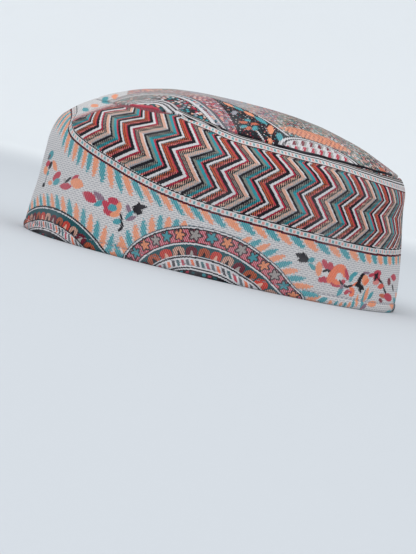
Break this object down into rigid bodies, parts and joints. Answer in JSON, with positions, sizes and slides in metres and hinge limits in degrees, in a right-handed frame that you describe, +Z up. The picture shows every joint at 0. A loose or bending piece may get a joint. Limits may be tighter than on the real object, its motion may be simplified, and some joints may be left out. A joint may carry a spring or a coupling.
{
  "type": "kashmiri cap",
  "caption": "Brimless oval cap of woven paisley cloth: a leaning side band and a shallow domed crown sewn along one seam, open underneath for the head.",
  "frame": {"origin": "middle of the cap's length and width, on the plane of its rim", "axes": "+Z up from the rim to the crown, front of the cap towards -Y, wearer's left towards +X"},
  "size_m": [0.1762, 0.202, 0.087],
  "materials": {
    "band_cloth": "woven multicolour paisley, matt",
    "crown_cloth": "woven multicolour paisley, matt"
  },
  "bodies": {
    "root": {"side_band": "band_cloth", "crown": "crown_cloth"}
  },
  "joints": []
}
